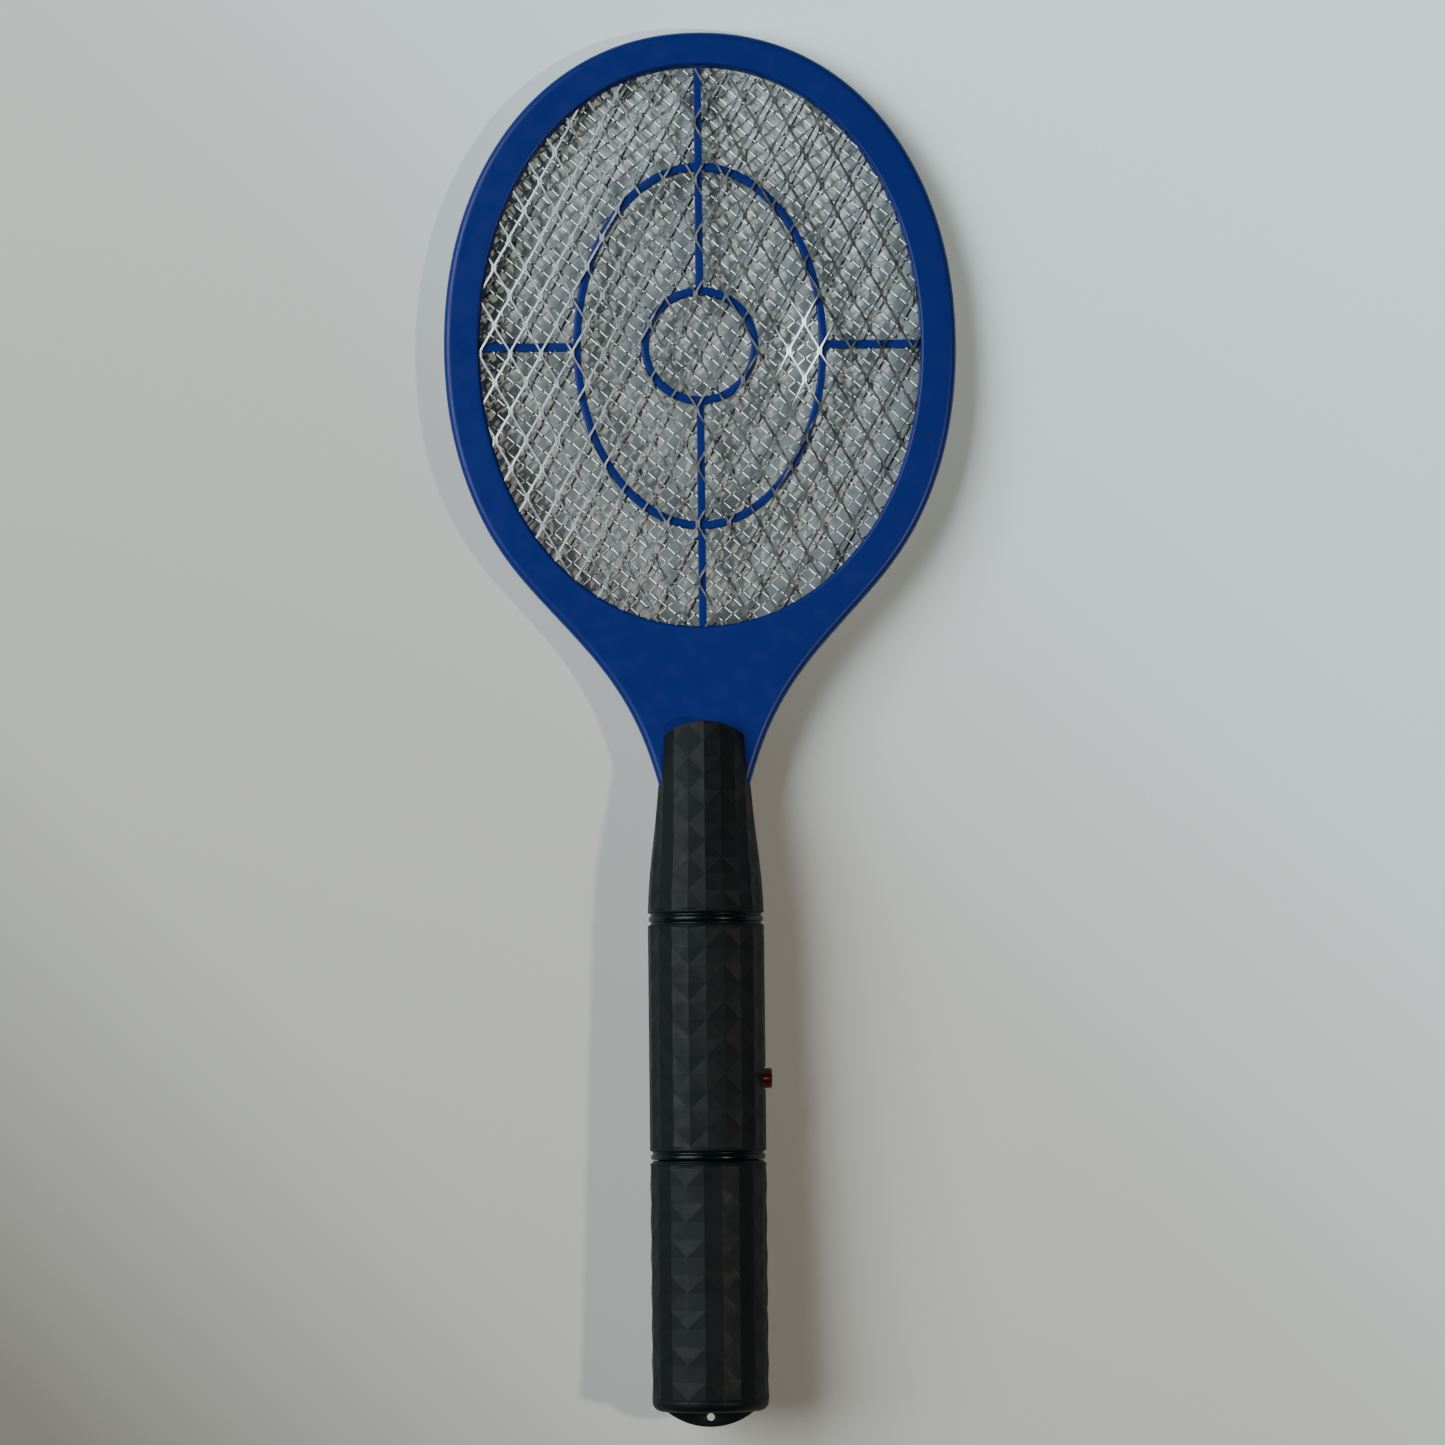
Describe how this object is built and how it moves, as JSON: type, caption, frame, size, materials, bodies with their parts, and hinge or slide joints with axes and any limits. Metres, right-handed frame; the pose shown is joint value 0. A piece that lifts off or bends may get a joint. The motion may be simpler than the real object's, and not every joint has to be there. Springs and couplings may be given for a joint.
{
  "type": "electric fly swatter",
  "caption": "Racket-shaped electric insect swatter with an oval three-layer metal mesh head and a round battery handle.",
  "frame": {"origin": "under the middle of the outline, on the surface that the handle lies on", "axes": "+X across the head, +Y along the handle towards the head, +Z out of the front face; the push button is on the +X side"},
  "size_m": [0.1636, 0.445, 0.037],
  "materials": {
    "blue_plastic": "smooth, satin gloss, moulded ABS",
    "mesh_metal": "bare expanded aluminium, dull with bright edges",
    "grip_plastic": "black moulded plastic with a fine faceted relief, satin",
    "red_plastic": "smooth, dark red",
    "screw_steel": "zinc plated",
    "contact_metal": "nickel plated spring steel",
    "part_plastic": "black moulded epoxy",
    "board": "paper phenolic board",
    "ferrite": "dark sintered ferrite",
    "tape": "yellow polyester tape",
    "film_capacitor": "dipped, red-brown",
    "ceramic_blue": "dipped ceramic discs",
    "resistor_body": "lacquered carbon film body",
    "tray_plastic": "plain black moulding",
    "cell_jacket": "coloured plastic film over a steel can, no lettering",
    "lead_red": "PVC insulation",
    "lead_black": "PVC insulation"
  },
  "bodies": {
    "racket": {"front_frame": "blue_plastic", "rear_frame": "blue_plastic", "frame_screws": "screw_steel", "front_spacer_grille": "blue_plastic", "rear_spacer_grille": "blue_plastic", "front_mesh": "mesh_metal", "centre_mesh": "mesh_metal", "rear_mesh": "mesh_metal", "centre_terminal_strip": "contact_metal", "outer_terminal_strips": "contact_metal", "handle_front_shell": "grip_plastic", "handle_rear_shell": "grip_plastic", "handle_screws": "screw_steel", "switch_body": "part_plastic", "circuit_board": "board", "transformer_core": "ferrite", "transformer_winding": "tape", "transistor": "part_plastic", "storage_capacitor": "film_capacitor", "multiplier_capacitors": "ceramic_blue", "rectifier_diodes": "part_plastic", "resistors": "resistor_body", "cell_tray": "tray_plastic", "left_cell": "cell_jacket", "right_cell": "cell_jacket", "positive_contact": "contact_metal", "negative_contact": "contact_metal", "battery_lead_red": "lead_red", "battery_lead_black": "lead_black", "centre_mesh_lead": "lead_red", "outer_mesh_lead": "lead_black", "switch_spring": "screw_steel"},
    "sleeve": {"battery_sleeve": "grip_plastic", "bridge_contact": "contact_metal"},
    "button": {"button_cap": "red_plastic", "switch_plunger": "red_plastic"}
  },
  "joints": [
    {"name": "button_press", "type": "slide", "parent": "racket", "child": "button", "axis": [-1, 0, 0], "range_m": [0, 0.0013], "stiffness_N_per_m": 300, "springref_m": -0.003, "deforming": ["switch_spring"]},
    {"name": "sleeve_pull", "type": "slide", "parent": "racket", "child": "sleeve", "axis": [0, -1, 0], "range_m": [0, 0.08]}
  ]
}
